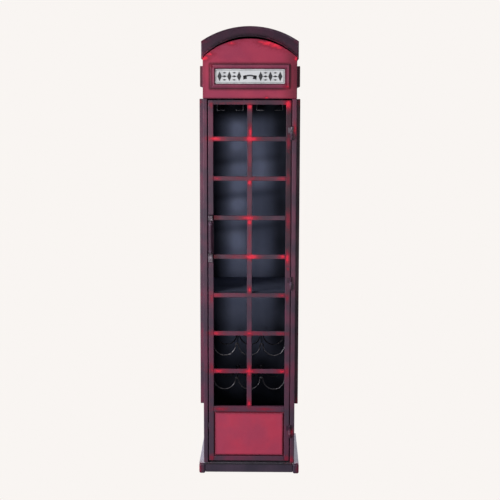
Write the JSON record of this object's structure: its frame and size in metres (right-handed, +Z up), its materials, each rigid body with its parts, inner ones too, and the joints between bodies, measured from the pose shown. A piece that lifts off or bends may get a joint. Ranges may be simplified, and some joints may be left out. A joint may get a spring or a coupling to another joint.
{
  "type": "telephone booth bottle cabinet",
  "caption": "Slim sheet-steel cabinet shaped like a telephone booth, with an arched roof, a hinged open lattice door, a shelf, wire bottle racks and stem hangers.",
  "frame": {"origin": "on the floor, at the middle of the footprint of the whole object, handle included", "axes": "+Z up, the door faces -Y, +X to the viewer's right"},
  "size_m": [0.408, 0.434, 1.8],
  "materials": {
    "dark_paint": "near-black plum enamel, rubbed at the edges",
    "red_paint": "aged crimson enamel with bright red rub-through",
    "plum_paint": "aged plum enamel, satin, red at the worn joints",
    "inner_paint": "dark blue-grey satin paint",
    "rack_wire": "dark gloss-coated steel wire and strip",
    "hardware_steel": "worn grey steel",
    "sign_enamel": null
  },
  "bodies": {
    "cabinet": {"base_beam_front": "dark_paint", "base_beam_left": "dark_paint", "base_beam_rear": "dark_paint", "base_beam_right": "dark_paint", "roof_fascia_front": "dark_paint", "roof_fascia_rear": "dark_paint", "roof_shell": "dark_paint", "base_foot_front_left": "red_paint", "base_foot_front_right": "red_paint", "base_foot_rear_left": "red_paint", "base_foot_rear_right": "red_paint", "header_panel": "red_paint", "sign_frame_front": "red_paint", "sign_frame_left": "red_paint", "sign_frame_right": "red_paint", "base_deck": "plum_paint", "corner_post_front_left": "plum_paint", "corner_post_front_right": "plum_paint", "corner_post_rear_left": "plum_paint", "corner_post_rear_right": "plum_paint", "side_panel_left": "plum_paint", "side_panel_right": "plum_paint", "side_lattice_left": "plum_paint", "side_lattice_right": "plum_paint", "back_panel": "inner_paint", "ceiling_panel": "inner_paint", "shelf": "inner_paint", "bottle_rack_lower": "rack_wire", "bottle_rack_upper": "rack_wire", "stem_rack_left": "rack_wire", "stem_rack_right": "rack_wire", "hinge_post_half_top": "hardware_steel", "hinge_post_half_middle": "hardware_steel", "hinge_post_half_bottom": "hardware_steel", "magnetic_catch": "hardware_steel", "sign_plate_front": "sign_enamel", "sign_plate_left": "sign_enamel", "sign_plate_right": "sign_enamel"},
    "door": {"door_kick_panel": "red_paint", "door_stile_left": "plum_paint", "door_stile_right": "plum_paint", "door_rail_top": "plum_paint", "door_rail_middle": "plum_paint", "door_rail_bottom": "plum_paint", "door_mullion": "plum_paint", "door_bar_1": "plum_paint", "door_bar_2": "plum_paint", "door_bar_3": "plum_paint", "door_bar_4": "plum_paint", "door_bar_5": "plum_paint", "door_bar_6": "plum_paint", "door_bar_7": "plum_paint", "handle_grip": "plum_paint", "hinge_door_half_top": "hardware_steel", "hinge_door_half_middle": "hardware_steel", "hinge_door_half_bottom": "hardware_steel", "handle_mount_upper": "hardware_steel", "handle_mount_lower": "hardware_steel", "strike_plate": "hardware_steel"}
  },
  "joints": [
    {"name": "door_hinge", "type": "hinge", "parent": "cabinet", "child": "door", "pos_m": [0.165, -0.1925, 0.7857], "axis": [0, 0, 1], "range_deg": [0, 150]}
  ]
}
